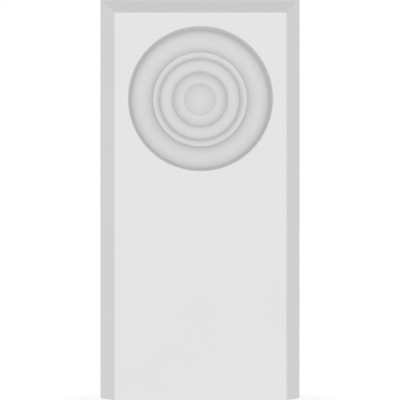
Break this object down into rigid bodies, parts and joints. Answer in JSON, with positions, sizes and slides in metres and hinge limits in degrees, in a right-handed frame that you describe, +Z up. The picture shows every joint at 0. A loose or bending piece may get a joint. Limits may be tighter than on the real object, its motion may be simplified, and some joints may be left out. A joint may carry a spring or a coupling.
{
  "type": "plinth block",
  "caption": "Upright trim block with bevelled side and top edges and a turned bullseye recessed in its upper square, for the foot of a door casing.",
  "frame": {"origin": "middle of the bottom end, half-way through the thickness, on the floor that the block stands on", "axes": "+X across the width, to the right as seen from the front; +Y from the bullseye face to the flat back; +Z up, towards the end that the casing stands on"},
  "size_m": [0.0888, 0.0254, 0.1778],
  "materials": {
    "white_cellular_board": "satin face, slightly duller where it is milled"
  },
  "bodies": {
    "root": {"plinth_block": "white_cellular_board"}
  },
  "joints": []
}
